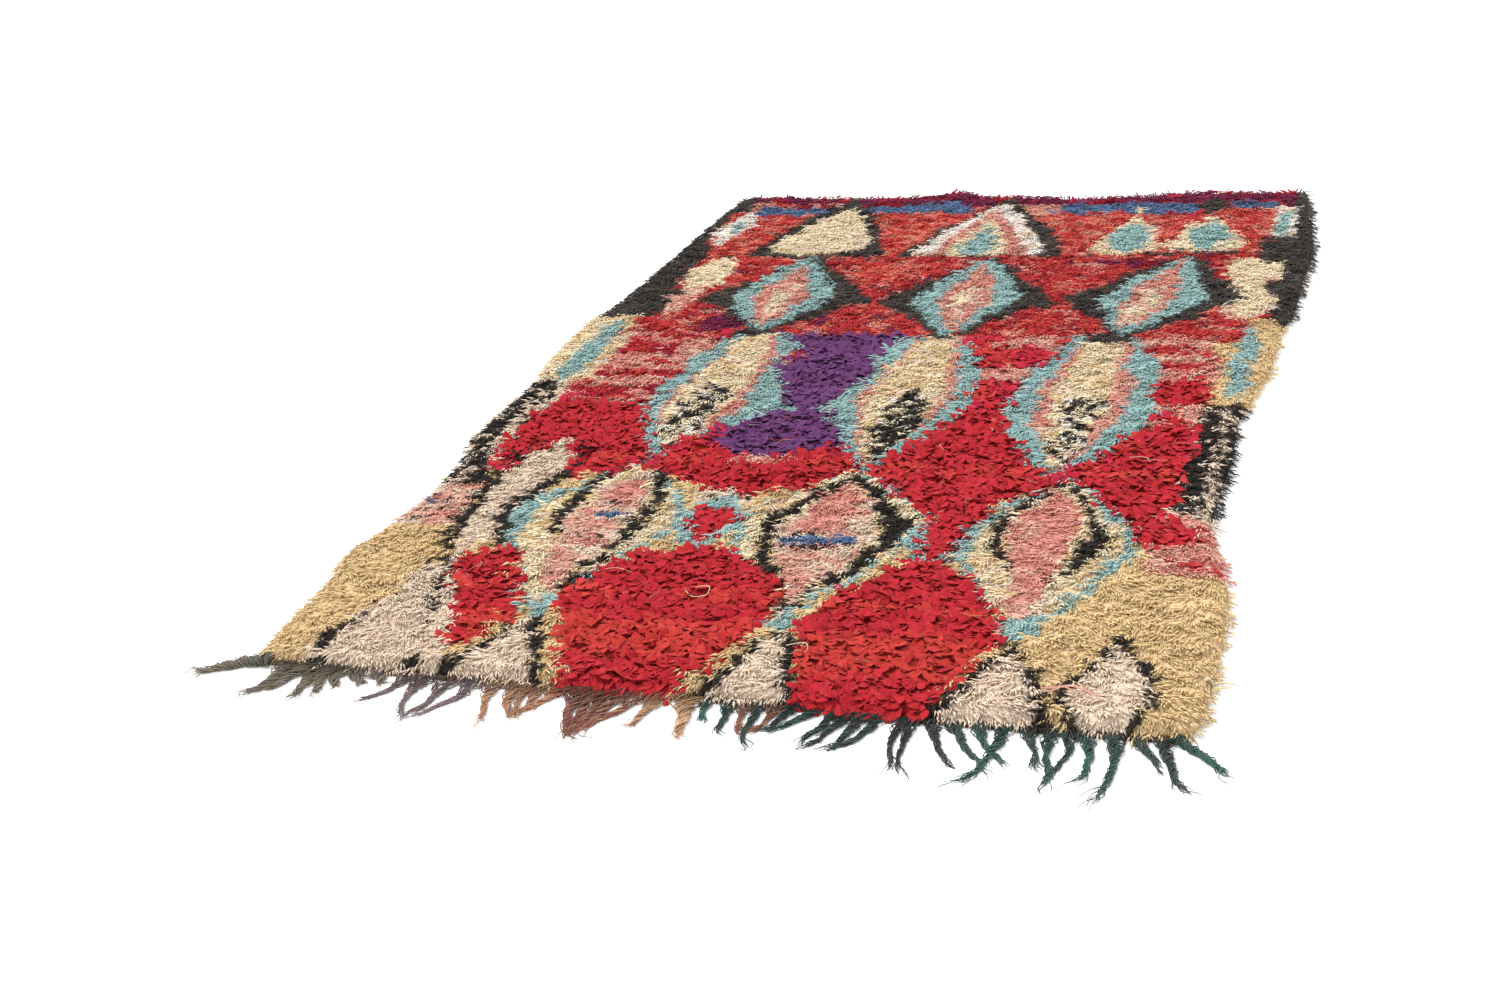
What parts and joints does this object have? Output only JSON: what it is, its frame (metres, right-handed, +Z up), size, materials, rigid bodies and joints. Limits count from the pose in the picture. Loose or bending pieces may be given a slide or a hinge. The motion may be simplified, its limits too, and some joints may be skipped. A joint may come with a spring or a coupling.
{
  "type": "boucherouite rug",
  "caption": "Shaggy hand-knotted rug with rows of lozenges in red, cream, teal and charcoal, lying flat, with a lumpy pile and a loose wool fringe at one end.",
  "frame": {"origin": "on the floor, under the middle of the whole part, fringe included", "axes": "+Y along the rug, away from the fringed end; +X across it; +Z up, the way the pile faces"},
  "size_m": [1.5982, 2.5956, 0.0293],
  "materials": {
    "pile_wool": "matt shaggy wool and cotton rag pile in many colours",
    "fringe_wool": "matt loosely twisted wool yarn, brown, olive, rust and dark green"
  },
  "bodies": {
    "root": {"shag_field": "pile_wool", "fringed_end": "fringe_wool"}
  },
  "joints": []
}
